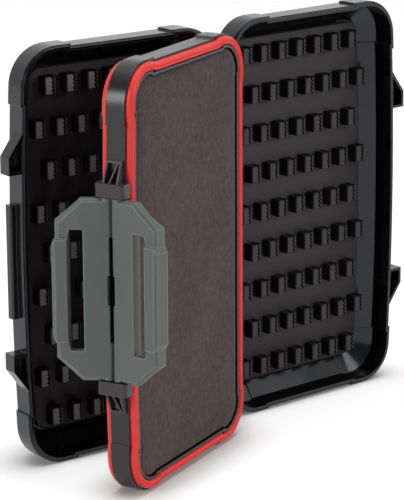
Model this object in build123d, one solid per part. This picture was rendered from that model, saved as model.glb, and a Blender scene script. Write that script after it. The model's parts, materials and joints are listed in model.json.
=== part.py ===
from build123d import *
import math
import os

# Double sided jig box, standing open on its short edges. Lengths in mm, +Z up.
# Every leaf is drawn closed: X runs outward from the hinge axis, Y is the thickness
# with the middle leaf centred on Y = 0, and Z is the height with the rest plane at 0.

# Outline shared by the middle leaf and both shells
HEIGHT = 190.0
WIDTH = 104.0
FREE_EDGE_BOW = 3.0
CORNER_RADIUS = 18.0
GUARD_STEP = 0.9
GUARD_REACH = 25.0
HINGE_SETBACK = 3.8
MID = HEIGHT / 2

# Middle leaf
BAND_HALF = 4.5
BAND_INSET = 6.0
LIP_INSET = 4.8
LIP_HALF = 6.6
PANEL_HALF = 1.25
FOAM_TOP = 6.4
FOAM_GAP = 0.4
SEAL_OUTER = 1.0
SEAL_WIDTH = 3.6
SEAL_HALF = 7.4

# Shells, measured from the rim plane
RIM_GAP = 0.3
RIM = SEAL_HALF + RIM_GAP
SHELL_DEPTH = 18.6
OUTER_BAND = 11.0
BACK_INSET = 8.0
WALL = 2.2
INNER_BAND = 10.6
FLOOR_DEPTH = 16.4
FLOOR_INSET = 8.6
REBATE = 0.8
BACK_PANEL_INSET = 7.0
BACK_PANEL_DEPTH = 0.6

# Latch, measured from the middle of the free edge and from each wing's pivot
WING_HALF = 39.8
WING_REACH = 22.1
WING_INNER_FACE = 2.0
WING_OUTER_FACE = 2.2
WING_FOLD = 12.4
WING_FOLD_DROP = 1.1
WING_WRAP_START = 16.7
WING_WRAP_DROP = 2.6
EDGE_BEVEL = 1.3
TIP_BEVEL = 1.3
CORNER_CUT_UP = 10.0
CORNER_CUT_ALONG = 11.1
WINDOW_NEAR = 10.7
WINDOW_FAR = 16.0
WINDOW_DRAFT = 0.4
WINDOW_FACET = 1.3
WINDOW_FACET_CUT = 4.5
WINDOW_HALF = WING_HALF - 13.2
GRIP_HALF = WING_HALF - 20.0
GRIP_END_SLOPE = 2.6
GRIP_RISE = 1.0
GRIP_REACH = 1.5
PIVOT_OUT = 2.6
PIVOT_SIDE = 2.4
LATCH_PIN_RADIUS = 1.0
BARREL_RADIUS = 2.25
SLIT_HALF = WING_HALF - 16.5
SLIT_EDGE = 0.7
NOTCH_HALF = 6.5
NOTCH_EDGE = 0.9

# Brackets that carry the latch pins
CHEEK_NEAR = WING_HALF + 0.5
CHEEK_FAR = CHEEK_NEAR + 6.0
CHEEK_HALF = 7.0
CHEEK_PROUD = 5.4
CHEEK_BEVEL = 1.2
RAMP_FAR = CHEEK_FAR + 9.0
RAMP_HALF = 3.7
RAMP_SKIN = 0.9
RAMP_RIB = 0.8
RAMP_RIB_SIDE = 2.7
RAMP_TOE = 2.2
ROOT_DEPTH = 1.0

# Keeper rib and hollow guard lugs on each shell's free edge
KEEPER_PROUD = 2.8
KEEPER_HALF = WINDOW_HALF - 0.8
KEEPER_NEAR = 5.8
KEEPER_FAR = 10.2
KEEPER_EDGE = 0.7
LUG_INNER = WING_HALF + 0.8
LUG_FLAT_END = LUG_INNER + 7.7
LUG_RAMP_END = LUG_FLAT_END + 10.0
LUG_PROUD = 6.2
LUG_NEAR = 0.5
LUG_FAR = 7.5
LUG_SKIN = 1.2

# Slotted sheets
SHEET_THICKNESS = 3.0
TAB_HEIGHT = 8.0
TAB_PROUD = 5.5
TAB_WIDTH = 3.6
SLIT_WIDTH = 0.9
TAB_LIP = 1.2
TAB_ROWS = 9
TAB_COLUMNS = 7
TAB_FULL = TAB_WIDTH + SLIT_WIDTH + TAB_LIP
SHEET_INSET = GUARD_STEP + WALL + FLOOR_INSET
SHEET_MARGIN = 3.3
FREE_MARGIN = 2.0
ROW_PITCH = HEIGHT / (TAB_ROWS + 1)
COLUMN_PITCH = (WIDTH - 2 * SHEET_INSET - TAB_FULL - FREE_MARGIN) / (TAB_COLUMNS - 0.5)
ROW_SHIFT = COLUMN_PITCH / 2

# Hinge
KNUCKLE_RADIUS = 3.4
PIN_RADIUS = 1.25
RUNNING_CLEARANCE = 0.06
SHELL_KNUCKLE = 8.0
LEAF_KNUCKLE = 10.0
KNUCKLE_GAP = 0.4
PIN_END = 0.4
HINGE_SPREAD = 48.0
HINGE_GROUPS = (MID - HINGE_SPREAD, MID + HINGE_SPREAD)
ARM_BACK = 2.4
ARM_NECK = 0.2
ARM_SHOULDER = 2.6
ARM_SHOULDER_UP = 4.6
ARM_TOP = 6.2
ARM_SEAT = 0.6
ARM_BITE = 1.0
ARM_GAP = 0.5

# Pose of the open box, in degrees about +Z
LEAF_TURN = 205.23
RIGHT_OPEN = 158.2
LEFT_OPEN = 25.6
RIGHT_WING_OPEN = 12.0
LEFT_WING_OPEN = 28.0

FREE_EDGE = WIDTH + FREE_EDGE_BOW - GUARD_STEP
PIVOT_X = HINGE_SETBACK + FREE_EDGE + PIVOT_OUT


def outline(inset):
    """Rounded outline with a bowed free edge, drawn inward by an inset."""
    top_left = (HINGE_SETBACK, HEIGHT)
    top_right = (HINGE_SETBACK + WIDTH, HEIGHT)
    low_right = (HINGE_SETBACK + WIDTH, 0)
    low_left = (HINGE_SETBACK, 0)
    bow = (HINGE_SETBACK + WIDTH + FREE_EDGE_BOW, MID)
    edges = [
        Line(low_left, top_left),
        Line(top_left, top_right),
        ThreePointArc(top_right, bow, low_right),
        Line(low_right, low_left),
    ]
    plain = make_face(edges)
    rounded = fillet(plain.vertices(), CORNER_RADIUS)
    if inset == 0:
        return rounded
    return offset(rounded, amount=-inset, kind=Kind.INTERSECTION)


def slab(drawing, low, high):
    """A drawing in X and Z made solid between two thicknesses."""
    return extrude(Plane.XZ.offset(-high) * drawing, high - low)


def taper(drawing, low, wide_drawing, high):
    """A straight sided solid from one drawing to another."""
    lower = Plane.XZ.offset(-low) * drawing
    upper = Plane.XZ.offset(-high) * wide_drawing
    return loft([lower.faces()[0], upper.faces()[0]], ruled=True)


def corner_areas(inset):
    """The four corner rectangles that the raised corner guards fill."""
    reach = GUARD_REACH - inset
    long = 2 * GUARD_REACH
    middle_x = HINGE_SETBACK + WIDTH / 2
    areas = []
    for side_x in (-1, 1):
        for side_z in (-1, 1):
            edge_x = middle_x + side_x * (WIDTH / 2 - reach)
            edge_z = MID + side_z * (HEIGHT / 2 - reach)
            centre = (edge_x + side_x * long / 2, edge_z + side_z * long / 2)
            areas.append(Pos(*centre) * Rectangle(long, long))
    return areas


def stepped_slab(inset, low, high):
    """A slab of the leaf outline with its corner guards standing proud."""
    solid = slab(outline(inset + GUARD_STEP), low, high)
    guard = slab(outline(inset), low, high)
    for area in corner_areas(inset):
        solid += guard & slab(area, low, high)
    return solid


def stepped_taper(inset, low, far_inset, high):
    """The same stepped outline narrowing toward the back of a shell."""
    solid = taper(outline(inset + GUARD_STEP), low, outline(far_inset + GUARD_STEP), high)
    guard = taper(outline(inset), low, outline(far_inset), high)
    for area in corner_areas(inset):
        solid += guard & slab(area, low, high)
    return solid


def free_edge(height_from_mid):
    """X of the free edge between the corner guards, at a height from the middle."""
    half = HEIGHT / 2
    radius = (half**2 + FREE_EDGE_BOW**2) / (2 * FREE_EDGE_BOW)
    drop = radius - math.sqrt(radius**2 - height_from_mid**2)
    return HINGE_SETBACK + FREE_EDGE - drop


def upright(points, low, high):
    """A polygon drawn in X and Y made solid between two heights."""
    face = make_face(Polyline(*points, close=True))
    return Pos(0, 0, low) * extrude(face, high - low)


def round_bar(x, y, radius, low, high):
    """An upright round bar between two heights."""
    return Pos(x, y, (low + high) / 2) * Cylinder(radius, high - low)


def knuckle_heights(order):
    """Height spans of one knuckle in both hinge groups: 0 lowest, 1 leaf, 2 highest."""
    half = LEAF_KNUCKLE / 2
    spans = (
        (-half - KNUCKLE_GAP - SHELL_KNUCKLE, -half - KNUCKLE_GAP),
        (-half, half),
        (half + KNUCKLE_GAP, half + KNUCKLE_GAP + SHELL_KNUCKLE),
    )
    low, high = spans[order]
    return [(centre + low, centre + high) for centre in HINGE_GROUPS]


def shell_arms(order):
    """Goosenecks that carry the shell's knuckles clear of the leaf and the other shell."""
    wall = HINGE_SETBACK + GUARD_STEP
    profile = [
        (-ARM_BACK, KNUCKLE_RADIUS / 2),
        (-ARM_NECK, RIM - ARM_NECK),
        (ARM_SHOULDER, RIM + ARM_SHOULDER_UP),
        (wall + ARM_BITE, RIM + ARM_TOP),
        (wall + ARM_BITE, RIM + ARM_SEAT),
        (wall - ARM_GAP, RIM),
        (wall - ARM_GAP, BAND_HALF),
        (ARM_SHOULDER, KNUCKLE_RADIUS / 2),
    ]
    arms = []
    for low, high in knuckle_heights(order):
        knuckle = round_bar(0, 0, KNUCKLE_RADIUS, low, high)
        arms.append(knuckle + upright(profile, low, high))
    return arms


def keeper():
    """Rib on the free edge that a latch wing's window drops over."""
    root = HINGE_SETBACK + FREE_EDGE - WALL
    top = HINGE_SETBACK + FREE_EDGE + KEEPER_PROUD
    near = RIM + KEEPER_NEAR
    far = RIM + KEEPER_FAR
    profile = [
        (root, near),
        (top - KEEPER_EDGE, near),
        (top, near + KEEPER_EDGE),
        (top, far - KEEPER_EDGE),
        (top - KEEPER_EDGE, far),
        (root, far),
    ]
    return upright(profile, MID - KEEPER_HALF, MID + KEEPER_HALF)


def guard_lug(side):
    """Hollow ramped lug beside the latch, open toward the rim."""
    root = free_edge(LUG_RAMP_END) - ROOT_DEPTH
    top = HINGE_SETBACK + FREE_EDGE + LUG_PROUD
    drawing = [
        (root, MID + side * LUG_INNER),
        (top, MID + side * LUG_INNER),
        (top, MID + side * LUG_FLAT_END),
        (root + ROOT_DEPTH, MID + side * LUG_RAMP_END),
        (root, MID + side * LUG_RAMP_END),
    ]
    hollow = [
        (root, MID + side * (LUG_INNER + LUG_SKIN)),
        (top - LUG_SKIN, MID + side * (LUG_INNER + LUG_SKIN)),
        (top - LUG_SKIN, MID + side * (LUG_FLAT_END - LUG_SKIN / 3)),
        (root + ROOT_DEPTH, MID + side * (LUG_RAMP_END - 2 * LUG_SKIN)),
        (root, MID + side * (LUG_RAMP_END - 2 * LUG_SKIN)),
    ]
    near = RIM + LUG_NEAR
    far = RIM + LUG_FAR
    lug = slab(make_face(Polyline(*drawing, close=True)), near, far)
    return lug - slab(make_face(Polyline(*hollow, close=True)), near, far - LUG_SKIN)


def shell(order):
    """One tray shaped shell, closed over the +Y side of the middle leaf."""
    outside = stepped_slab(0, RIM, RIM + OUTER_BAND)
    outside += stepped_taper(0, RIM + OUTER_BAND, BACK_INSET, RIM + SHELL_DEPTH)
    cavity = stepped_slab(WALL, RIM, RIM + INNER_BAND)
    cavity += stepped_taper(WALL, RIM + INNER_BAND, WALL + FLOOR_INSET, RIM + FLOOR_DEPTH)
    body = outside - cavity
    rebate = stepped_slab(0, RIM, RIM + REBATE) - stepped_slab(REBATE, RIM, RIM + REBATE)
    body -= rebate
    back = RIM + SHELL_DEPTH
    panel = outline(GUARD_STEP + BACK_INSET + BACK_PANEL_INSET)
    body -= slab(panel, back - BACK_PANEL_DEPTH, back)
    for arm in shell_arms(order):
        body += arm
    body += keeper()
    for side in (-1, 1):
        body += guard_lug(side)
    for low, high in knuckle_heights(order):
        body -= round_bar(0, 0, PIN_RADIUS + RUNNING_CLEARANCE, low, high)
    return body


def tab(left, bottom, slit_side):
    """A raised tab and, past its narrow slit, a thin lip on one side."""
    main_left = left if slit_side > 0 else left + TAB_LIP + SLIT_WIDTH
    lip_left = left + TAB_WIDTH + SLIT_WIDTH if slit_side > 0 else left
    corner = (Align.MIN, Align.MIN)
    main = Pos(main_left, bottom) * Rectangle(TAB_WIDTH, TAB_HEIGHT, align=corner)
    lip = Pos(lip_left, bottom) * Rectangle(TAB_LIP, TAB_HEIGHT, align=corner)
    return [main, lip]


def slot_sheet(slit_side):
    """Soft sheet on the shell's floor with rows of slotted tabs."""
    floor = RIM + FLOOR_DEPTH
    top = floor - SHEET_THICKNESS
    sheet = slab(outline(SHEET_INSET), top, floor)
    faces = []
    for row in range(TAB_ROWS):
        centre = MID + (row - (TAB_ROWS - 1) / 2) * ROW_PITCH
        shift = ROW_SHIFT if row % 2 else 0.0
        for column in range(TAB_COLUMNS):
            left = HINGE_SETBACK + SHEET_INSET + SHEET_MARGIN + shift + column * COLUMN_PITCH
            faces += tab(left, centre - TAB_HEIGHT / 2, slit_side)
    tabs = [slab(face, top - TAB_PROUD, top).solids()[0] for face in faces]
    return sheet.fuse(*tabs)


def leaf_frame():
    """Ring shaped band of the middle leaf with a raised inner lip and its knuckles."""
    ring = stepped_slab(0, -BAND_HALF, BAND_HALF)
    ring += stepped_slab(LIP_INSET, -LIP_HALF, LIP_HALF)
    ring -= stepped_slab(BAND_INSET, -LIP_HALF, LIP_HALF)
    reach = HINGE_SETBACK + GUARD_STEP + WALL
    for low, high in knuckle_heights(1):
        ring += round_bar(0, 0, KNUCKLE_RADIUS, low, high)
        arm = Box(reach, 2 * KNUCKLE_RADIUS, high - low, align=(Align.MIN, Align.CENTER, Align.MIN))
        ring += Pos(0, 0, low) * arm
        ring -= round_bar(0, 0, PIN_RADIUS, low, high)
    return ring


def leaf_panel():
    """Thin web that divides the middle leaf and backs both foam pads."""
    return stepped_slab(BAND_INSET, -PANEL_HALF, PANEL_HALF)


def foam_pad():
    """Foam pad on the +Y side of the web."""
    return stepped_slab(BAND_INSET + FOAM_GAP, PANEL_HALF, FOAM_TOP)


def seal():
    """Soft seal that runs round the band on its +Y side."""
    ring = stepped_slab(SEAL_OUTER, BAND_HALF, SEAL_HALF)
    return ring - stepped_slab(SEAL_OUTER + SEAL_WIDTH, BAND_HALF, SEAL_HALF)


def latch_bracket(side):
    """Cheek that carries both latch pins, with a hollow ramp behind it."""
    near = MID + side * CHEEK_NEAR
    far = MID + side * CHEEK_FAR
    ramp_end = MID + side * RAMP_FAR
    root = free_edge(RAMP_FAR) - ROOT_DEPTH
    face = HINGE_SETBACK + FREE_EDGE + CHEEK_PROUD
    low, high = sorted((near, far))
    cheek = [
        (root, -CHEEK_HALF),
        (face - CHEEK_BEVEL, -CHEEK_HALF),
        (face, -CHEEK_HALF + CHEEK_BEVEL),
        (face, CHEEK_HALF - CHEEK_BEVEL),
        (face - CHEEK_BEVEL, CHEEK_HALF),
        (root, CHEEK_HALF),
    ]
    ramp = [(root, far), (face - CHEEK_BEVEL, far), (root + RAMP_TOE, ramp_end), (root, ramp_end)]
    lip = ramp_end - side * RAMP_SKIN
    pocket = [(root, far), (face, far), (face, lip), (root, lip)]
    rib = [
        (0, far),
        (-RAMP_RIB, far),
        (RAMP_RIB_SIDE - RAMP_RIB, ramp_end),
        (RAMP_RIB_SIDE, ramp_end),
    ]
    body = upright(cheek, low, high)
    body += slab(make_face(Polyline(*ramp, close=True)), -RAMP_HALF, RAMP_HALF)
    inner = RAMP_HALF - RAMP_SKIN
    hollow = slab(make_face(Polyline(*pocket, close=True)), -inner, inner)
    body -= hollow - across(rib, root, face)
    body -= slab(outline(GUARD_STEP), -CHEEK_HALF, CHEEK_HALF)
    for bar_side in (-1, 1):
        body -= round_bar(PIVOT_X, bar_side * PIVOT_SIDE, LATCH_PIN_RADIUS, low, high)
    return body


def across(points, low, high):
    """A polygon drawn in Y and Z made solid between two X positions."""
    face = make_face(Polyline(*points, close=True))
    return extrude(Plane.YZ.offset(low) * face, high - low)


def both_halves(points):
    """A drawing's lower half mirrored about the middle height, as one closed polygon."""
    lower = [(along, MID - up) for along, up in points]
    upper = [(along, MID + up) for along, up in reversed(points)]
    return lower + upper


def wing_window(inner, outer, foot):
    """The wing's window, with draft on its near side and a sloped facet on its far side."""
    back = inner - WING_WRAP_DROP
    front = outer + GRIP_RISE
    near = foot + WINDOW_NEAR
    far = foot + WINDOW_FAR
    lip = far + WINDOW_FACET
    hole = upright(
        [(back, near), (front, near - WINDOW_DRAFT), (front, far), (back, far)],
        MID - WINDOW_HALF,
        MID + WINDOW_HALF,
    )
    facet = upright([(inner, far), (front, lip), (front, far)], MID - WINDOW_HALF, MID + WINDOW_HALF)
    facet_outline = [(far, WINDOW_HALF), (lip, WINDOW_HALF - WINDOW_FACET_CUT)]
    return hole + (facet & across(both_halves(facet_outline), inner, front))


def wing_grip(inner, outer, foot):
    """Raised finger bar along the wing's tip, sloped at both ends."""
    tip = foot + WING_REACH
    start = foot + WINDOW_FAR
    front = outer + GRIP_RISE
    bar = upright(
        [
            (inner, start),
            (front, start),
            (front, tip + GRIP_REACH - TIP_BEVEL),
            (front - TIP_BEVEL, tip + GRIP_REACH),
            (inner - WING_WRAP_DROP, tip + GRIP_REACH),
            (inner - WING_WRAP_DROP, tip),
        ],
        MID - WING_HALF,
        MID + WING_HALF,
    )
    ends = [(start, GRIP_HALF + GRIP_END_SLOPE), (tip, GRIP_HALF + GRIP_END_SLOPE)]
    ends += [(tip + GRIP_REACH, GRIP_HALF)]
    return bar & across(both_halves(ends), inner - WING_WRAP_DROP, front)


def latch_wing():
    """Wing on the +Y side, closed: it lies along the free edge with its window on the keeper."""
    inner = PIVOT_X - WING_INNER_FACE
    outer = PIVOT_X + WING_OUTER_FACE
    foot = PIVOT_SIDE
    tip = foot + WING_REACH
    wrapped = inner - WING_WRAP_DROP
    section = [
        (inner, foot),
        (outer, foot),
        (outer, foot + WING_FOLD),
        (outer - WING_FOLD_DROP, tip - TIP_BEVEL),
        (outer - WING_FOLD_DROP - TIP_BEVEL, tip),
        (wrapped, tip),
        (inner, foot + WING_WRAP_START),
    ]
    corners = [
        (foot, WING_HALF),
        (foot + CORNER_CUT_ALONG, WING_HALF),
        (tip, WING_HALF - CORNER_CUT_UP),
    ]
    plate = upright(section, MID - WING_HALF, MID + WING_HALF)
    plate = plate & across(both_halves(corners), wrapped, outer)
    front = plate.faces().filter_by(lambda face: face.normal_at().X > 0.9)
    rim = [
        edge
        for edge in front.edges()
        if abs(edge.center().Z - MID) > WING_HALF - CORNER_CUT_UP
    ]
    plate = chamfer(rim, EDGE_BEVEL)
    plate += wing_grip(inner, outer, foot)
    plate -= wing_window(inner, outer, foot)
    plate += round_bar(PIVOT_X, foot, BARREL_RADIUS, MID - WING_HALF, MID + WING_HALF)
    for edge, half in ((SLIT_EDGE, SLIT_HALF), (SLIT_EDGE - NOTCH_EDGE, NOTCH_HALF)):
        slit = Pos(PIVOT_X, foot - edge - BARREL_RADIUS / 2, MID)
        plate -= slit * Box(3 * BARREL_RADIUS, BARREL_RADIUS, 2 * half)
    bore = LATCH_PIN_RADIUS + RUNNING_CLEARANCE
    plate -= round_bar(PIVOT_X, foot, bore, MID - WING_HALF, MID + WING_HALF)
    return plate


def turned(solid, side, angle, x=0.0, y=0.0):
    """Opens a closed piece by an angle about its own upright axis, away from the leaf."""
    opened = Pos(x, y, 0) * (Rot(0, 0, side * angle) * (Pos(-x, -y, 0) * solid))
    return Rot(0, 0, LEAF_TURN) * opened


def other_side(solid):
    """The same piece on the -Y side of the middle leaf."""
    return mirror(solid, about=Plane.XZ)


def hinge_pin(group):
    """Hinge pin of one group, held in the middle leaf's knuckle."""
    half = LEAF_KNUCKLE / 2 + KNUCKLE_GAP + SHELL_KNUCKLE + PIN_END
    centre = HINGE_GROUPS[group]
    return round_bar(0, 0, PIN_RADIUS, centre - half, centre + half)


leaf = leaf_frame()
pad = foam_pad()
soft_seal = seal()
wing = latch_wing()
latch_pin = round_bar(PIVOT_X, PIVOT_SIDE, LATCH_PIN_RADIUS, MID - CHEEK_FAR, MID + CHEEK_FAR)
left_pivot = (PIVOT_X, -PIVOT_SIDE)
right_pivot = (PIVOT_X, PIVOT_SIDE)

nodes = {
    "leaf_frame": turned(leaf, 0, 0),
    "leaf_panel": turned(leaf_panel(), 0, 0),
    "right_foam_pad": turned(pad, 0, 0),
    "left_foam_pad": turned(other_side(pad), 0, 0),
    "right_seal": turned(soft_seal, 0, 0),
    "left_seal": turned(other_side(soft_seal), 0, 0),
    "latch_bracket_upper": turned(latch_bracket(1), 0, 0),
    "latch_bracket_lower": turned(latch_bracket(-1), 0, 0),
    "hinge_pin_lower": hinge_pin(0),
    "hinge_pin_upper": hinge_pin(1),
    "latch_pin_right": turned(latch_pin, 0, 0),
    "latch_pin_left": turned(other_side(latch_pin), 0, 0),
    "latch_wing_right": turned(wing, -1, RIGHT_WING_OPEN, *right_pivot),
    "latch_wing_left": turned(other_side(wing), 1, LEFT_WING_OPEN, *left_pivot),
    "right_shell": turned(shell(0), 1, RIGHT_OPEN),
    "left_shell": turned(other_side(shell(2)), -1, LEFT_OPEN),
    "right_slot_sheet": turned(slot_sheet(1), 1, RIGHT_OPEN),
    "left_slot_sheet": turned(other_side(slot_sheet(-1)), -1, LEFT_OPEN),
}

# The origin is the middle of the footprint, on the rest plane
boxes = [solid.bounding_box() for solid in nodes.values()]
middle_x = (min(box.min.X for box in boxes) + max(box.max.X for box in boxes)) / 2
middle_y = (min(box.min.Y for box in boxes) + max(box.max.Y for box in boxes)) / 2
centring = Pos(-middle_x, -middle_y, 0)

os.makedirs("parts", exist_ok=True)
for name, solid in nodes.items():
    export_step(centring * solid, f"parts/{name}.step")
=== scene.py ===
"""Looks for the double sided jig box: soft pieces, finishes, studio and camera."""

from __future__ import annotations

import json
import logging
import math
from dataclasses import dataclass, field
from enum import Enum

import bmesh
import bpy
from mathutils import Matrix, Vector, noise

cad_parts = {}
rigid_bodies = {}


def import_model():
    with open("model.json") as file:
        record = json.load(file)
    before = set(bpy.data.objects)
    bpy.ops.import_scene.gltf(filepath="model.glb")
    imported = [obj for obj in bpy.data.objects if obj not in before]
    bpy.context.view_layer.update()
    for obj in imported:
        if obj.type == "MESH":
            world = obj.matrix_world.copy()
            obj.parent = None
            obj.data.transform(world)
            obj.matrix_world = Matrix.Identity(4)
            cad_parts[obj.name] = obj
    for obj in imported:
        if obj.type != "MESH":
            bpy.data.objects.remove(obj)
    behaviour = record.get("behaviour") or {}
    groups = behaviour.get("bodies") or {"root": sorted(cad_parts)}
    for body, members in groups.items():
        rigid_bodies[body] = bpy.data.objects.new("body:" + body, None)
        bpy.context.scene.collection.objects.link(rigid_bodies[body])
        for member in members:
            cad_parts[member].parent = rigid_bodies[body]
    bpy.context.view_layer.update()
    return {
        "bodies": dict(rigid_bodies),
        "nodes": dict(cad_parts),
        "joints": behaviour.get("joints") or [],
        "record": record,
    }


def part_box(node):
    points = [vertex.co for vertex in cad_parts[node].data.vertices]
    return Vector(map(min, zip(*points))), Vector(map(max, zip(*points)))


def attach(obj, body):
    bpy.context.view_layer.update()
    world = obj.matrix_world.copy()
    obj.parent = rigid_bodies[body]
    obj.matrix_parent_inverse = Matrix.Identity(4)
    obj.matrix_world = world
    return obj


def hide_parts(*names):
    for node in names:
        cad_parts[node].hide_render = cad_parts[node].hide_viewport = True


LOG = logging.getLogger("jig_box")
MM = 0.001


class ShellSide(Enum):
    """The two faces of the middle leaf and the shell that closes on each."""

    LEFT = "left"
    RIGHT = "right"

    @property
    def sign(self) -> int:
        """+1 on the right side, -1 on the left one."""
        return 1 if self is ShellSide.RIGHT else -1


class Rows(Enum):
    """Which way the slit of each tab faces along the closed shell's X axis."""

    SLIT_OUTWARD = 1
    SLIT_INWARD = -1


@dataclass(frozen=True)
class HingeFrame:
    """The place of one closed leaf in the row frame.

    X runs from the hinge axis to the free edge, Y is the thickness and Z the height.
    """

    axis_x: float
    axis_y: float
    turn_degrees: float
    mirrored: bool = False

    def matrix(self) -> Matrix:
        """Matrix from the closed leaf's millimetres to the row frame's metres."""
        place = Matrix.Translation((self.axis_x, self.axis_y, 0.0))
        turn = Matrix.Rotation(math.radians(self.turn_degrees), 4, "Z")
        flip = Matrix.Diagonal((1.0, -1.0 if self.mirrored else 1.0, 1.0, 1.0))
        return place @ turn @ flip @ Matrix.Scale(MM, 4)


@dataclass(frozen=True)
class EdgePoint:
    """A point of the leaf's outline, its outward direction and how much guard is there."""

    x: float
    z: float
    out_x: float
    out_z: float
    guard: float


@dataclass(frozen=True)
class LeafOutline:
    """Rounded outline with a bowed free edge and corner guards, in millimetres."""

    height: float = 190.0
    width: float = 104.0
    bow: float = 3.0
    corner: float = 18.0
    setback: float = 3.8
    guard_step: float = 0.9
    guard_reach: float = 25.0
    ramp: float = 4.0
    spacing: float = 0.8

    def _guard(self, x: float, z: float, inset: float) -> float:
        """How far a point lies inside a corner guard's area.

        Args:
            x: Distance from the hinge axis.
            z: Height.
            inset: How far inward the followed outline is drawn.

        Returns:
            0 outside the guards, 1 inside one, and a short ramp between them.
        """
        reach = self.guard_reach - inset
        across = abs(x - self.setback - self.width / 2) - (self.width / 2 - reach)
        upward = abs(z - self.height / 2) - (self.height / 2 - reach)
        depth = min(across, upward) / self.ramp + 0.5
        depth = max(0.0, min(1.0, depth))
        return depth * depth * (3 - 2 * depth)

    def _arc(
        self, centre: tuple[float, float], radius: float, start: float, end: float, steps: int
    ) -> list[tuple[float, float, float, float]]:
        """Points and outward directions on an arc, its last point left out.

        Args:
            centre: Middle of the arc.
            radius: Radius of the arc.
            start: First angle in radians.
            end: Last angle in radians.
            steps: Number of points.

        Returns:
            Points with their outward directions, as (x, z, out_x, out_z).
        """
        found = []
        for step in range(steps):
            angle = start + (end - start) * step / steps
            out = (math.cos(angle), math.sin(angle))
            found.append((centre[0] + radius * out[0], centre[1] + radius * out[1], *out))
        return found

    def _base(self) -> list[tuple[float, float, float, float]]:
        """The plain outline, anticlockwise from the foot of the hinge edge.

        Returns:
            Points with their outward directions, as (x, z, out_x, out_z).
        """
        left, right = self.setback, self.setback + self.width
        half = self.height / 2
        big = (half * half + self.bow * self.bow) / (2 * self.bow)
        bow_x = right + self.bow - big
        fillet_x = bow_x + math.sqrt((big - self.corner) ** 2 - (half - self.corner) ** 2)
        lean = math.atan2(half - self.corner, fillet_x - bow_x)
        low, high = self.corner, self.height - self.corner
        start_x = left + self.corner
        found = []
        count = max(2, round((fillet_x - start_x) / self.spacing))
        for index in range(count):
            found.append((start_x + (fillet_x - start_x) * index / count, 0.0, 0.0, -1.0))
        bowed = max(2, round(2 * lean * big / self.spacing))
        found += self._arc((fillet_x, low), self.corner, -math.pi / 2, -lean, 18)
        found += self._arc((bow_x, half), big, -lean, lean, bowed)
        found += self._arc((fillet_x, high), self.corner, lean, math.pi / 2, 18)
        for index in range(count):
            found.append((fillet_x + (start_x - fillet_x) * index / count, self.height, 0.0, 1.0))
        found += self._arc((start_x, high), self.corner, math.pi / 2, math.pi, 18)
        rise = max(2, round((high - low) / self.spacing))
        for index in range(rise):
            found.append((left, high + (low - high) * index / rise, -1.0, 0.0))
        found += self._arc((start_x, low), self.corner, math.pi, 1.5 * math.pi, 18)
        return found

    def follow(self, inset: float, deeper: float = 0.0, stepped: bool = True) -> list[EdgePoint]:
        """The leaf's outline at an inset.

        Args:
            inset: Distance inward from the corner guards' outer faces.
            deeper: Further distance inward that leaves the guards' ends where they are.
            stepped: False for a plain outline without the corner guards.

        Returns:
            Points round the outline, sparse on the long edges and dense at the guards.
        """
        found: list[EdgePoint] = []
        for x, z, out_x, out_z in self._base():
            guard = self._guard(x, z, inset) if stepped else 0.0
            depth = inset + deeper + self.guard_step * (1 - guard)
            point = EdgePoint(x - out_x * depth, z - out_z * depth, out_x, out_z, guard)
            last = found[-1] if found else None
            straight = last is not None and abs(last.out_x * out_z - last.out_z * out_x) < 0.004
            level = last is not None and guard == last.guard and guard in (0.0, 1.0)
            near = last is not None and math.hypot(point.x - last.x, point.z - last.z) < 4.0
            if straight and level and near:
                continue
            found.append(point)
        return found


def new_object(name: str, mesh: bpy.types.Mesh) -> bpy.types.Object:
    """Put a mesh in the scene as an object at the origin.

    Args:
        name: Name of the object.
        mesh: Its mesh.

    Returns:
        The new object.
    """
    piece = bpy.data.objects.new(name, mesh)
    bpy.context.scene.collection.objects.link(piece)
    return piece


def shade_by_angle(mesh: bpy.types.Mesh, degrees: float) -> None:
    """Smooth a mesh except across its sharp edges.

    Args:
        mesh: Mesh to shade.
        degrees: Edges that turn by more than this stay sharp.
    """
    mesh.polygons.foreach_set("use_smooth", [True] * len(mesh.polygons))
    mesh.set_sharp_from_angle(angle=math.radians(degrees))
    mesh.update()


def seat(mesh: bpy.types.Mesh, place: Matrix, degrees: float = 32.0) -> None:
    """Move a mesh into the row frame, point its faces outward and shade it.

    Args:
        mesh: Mesh in a closed leaf's millimetres.
        place: The leaf's matrix into the row frame.
        degrees: Edges sharper than this stay sharp.
    """
    mesh.transform(place)
    work = bmesh.new()
    work.from_mesh(mesh)
    bmesh.ops.remove_doubles(work, verts=work.verts, dist=1e-6)
    bmesh.ops.recalc_face_normals(work, faces=work.faces)
    work.to_mesh(mesh)
    work.free()
    shade_by_angle(mesh, degrees)


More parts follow.
